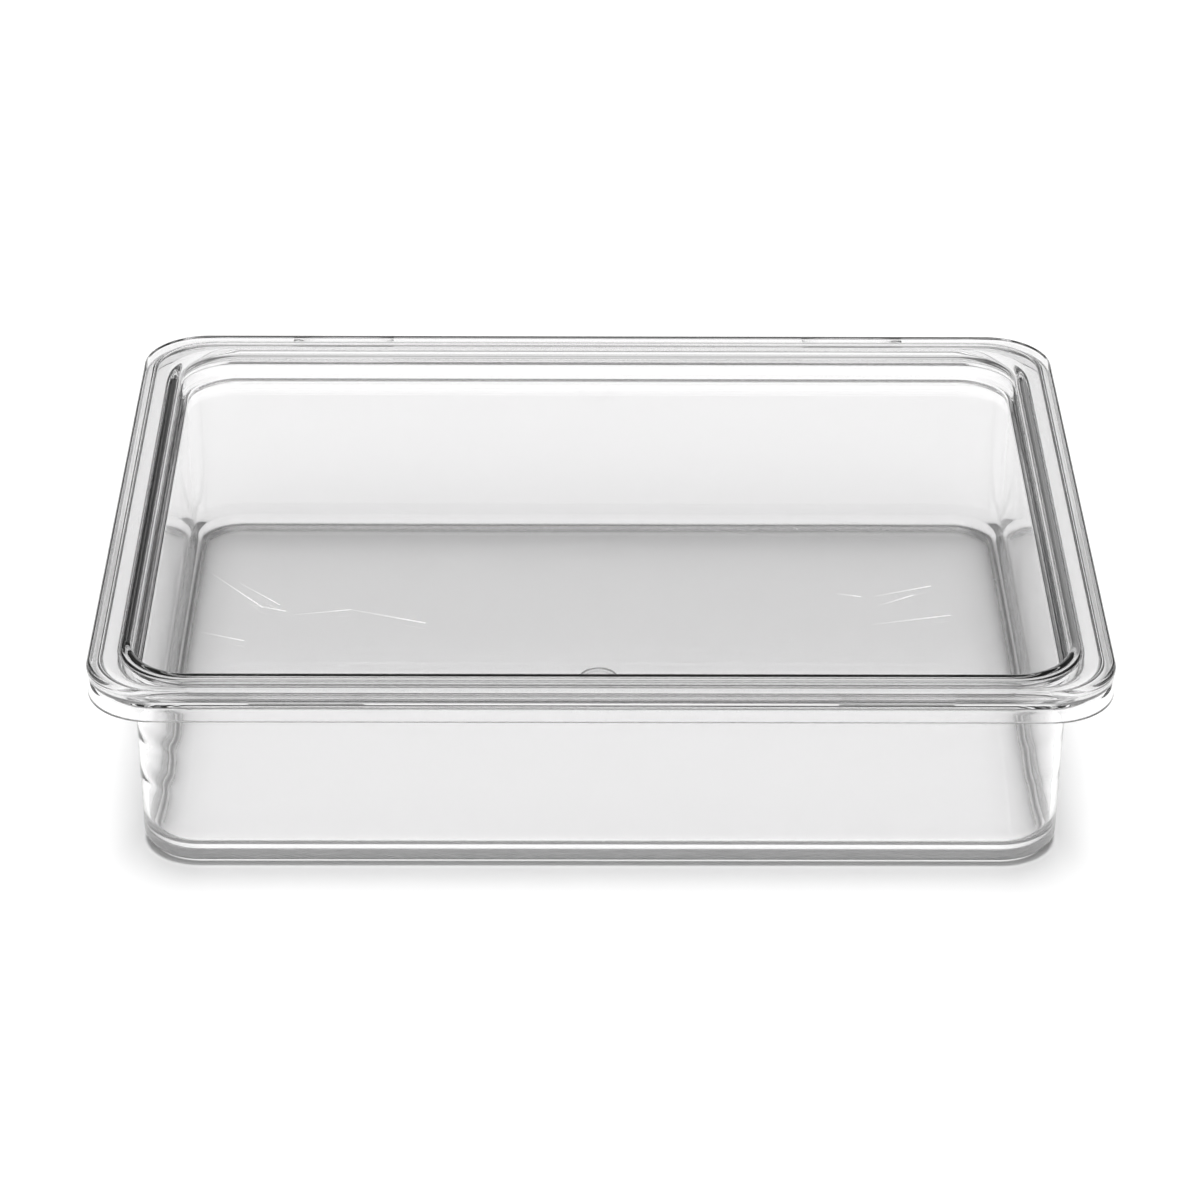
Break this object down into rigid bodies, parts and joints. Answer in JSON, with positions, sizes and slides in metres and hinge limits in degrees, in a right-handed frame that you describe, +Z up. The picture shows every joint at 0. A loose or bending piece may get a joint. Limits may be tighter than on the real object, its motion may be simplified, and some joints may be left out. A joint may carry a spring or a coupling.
{
  "type": "fridge storage box",
  "caption": "Clear rectangular storage box for a fridge, with a stepped rim and a lift-off lid whose recessed panel seats the base of another box.",
  "frame": {"origin": "middle of the outline, on the plane that the base rests on", "axes": "+X along the long side, +Y from the front long side to the back one, +Z up; the front faces -Y"},
  "size_m": [0.32, 0.25, 0.0715],
  "materials": {
    "clear_box": "clear polished moulding with faint flow marks",
    "clear_lid": "clear polished moulding with fine handling scratches"
  },
  "bodies": {
    "storage_box": {"storage_box": "clear_box"},
    "lid": {"lid": "clear_lid"}
  },
  "joints": [
    {"name": "lid_lift", "type": "slide", "parent": "storage_box", "child": "lid", "axis": [0, 0, 1], "range_m": [0, 0.08]}
  ]
}
